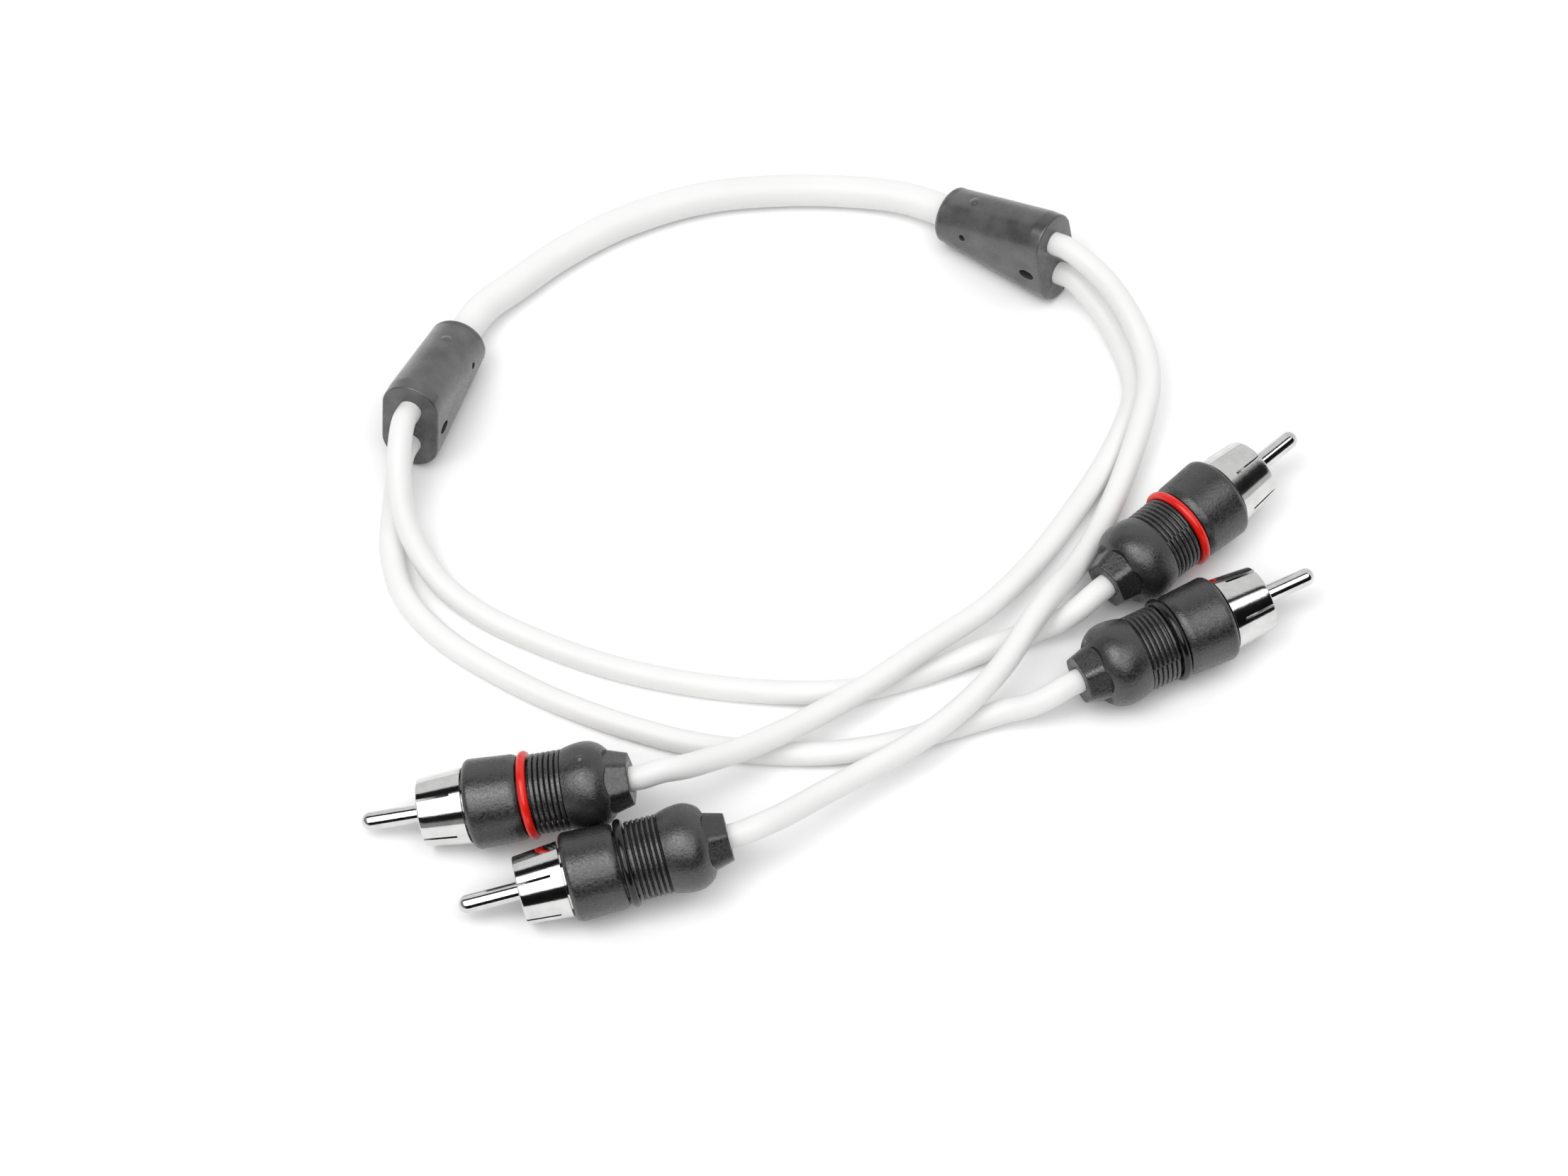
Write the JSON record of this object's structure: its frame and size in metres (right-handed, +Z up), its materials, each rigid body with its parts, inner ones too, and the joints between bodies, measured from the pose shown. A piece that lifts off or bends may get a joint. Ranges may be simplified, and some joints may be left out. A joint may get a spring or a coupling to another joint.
{
  "type": "stereo audio cable",
  "caption": "Stereo audio cable: a round trunk cord between moulded splitters, with thinner leads to phono plugs marked by red or black rings.",
  "frame": {"origin": "on the floor, under the middle of the plugs' and splitters' bounding box", "axes": "+Z up from the floor, +X to the right and +Y away from someone who looks at the open loop with the plugs nearest"},
  "size_m": [0.1658, 0.1605, 0.0192],
  "materials": {
    "white_jacket": "satin",
    "dark_rubber": "matte, finely grained",
    "nickel": "bright nickel plate",
    "natural_plastic": "natural",
    "red_ring": "glossy",
    "black_ring": "glossy",
    "red_core": "plain",
    "black_core": "plain",
    "copper": "bare copper"
  },
  "bodies": {
    "root": {"trunk_cord": "white_jacket", "left_red_lead": "white_jacket", "left_black_lead": "white_jacket", "right_red_lead": "white_jacket", "right_black_lead": "white_jacket", "left_splitter": "dark_rubber", "left_upper_pair": "natural_plastic", "left_lower_pair": "natural_plastic", "right_splitter": "dark_rubber", "right_upper_pair": "natural_plastic", "right_lower_pair": "natural_plastic", "left_red_pin": "nickel", "left_red_insulator": "natural_plastic", "left_red_shell": "nickel", "left_red_boot": "dark_rubber", "left_red_ring": "red_ring", "left_red_core": "red_core", "left_red_drain": "copper", "left_black_pin": "nickel", "left_black_insulator": "natural_plastic", "left_black_shell": "nickel", "left_black_boot": "dark_rubber", "left_black_ring": "black_ring", "left_black_core": "black_core", "left_black_drain": "copper", "right_red_pin": "nickel", "right_red_insulator": "natural_plastic", "right_red_shell": "nickel", "right_red_boot": "dark_rubber", "right_red_ring": "red_ring", "right_red_core": "red_core", "right_red_drain": "copper", "right_black_pin": "nickel", "right_black_insulator": "natural_plastic", "right_black_shell": "nickel", "right_black_boot": "dark_rubber", "right_black_ring": "black_ring", "right_black_core": "black_core", "right_black_drain": "copper"}
  },
  "joints": []
}
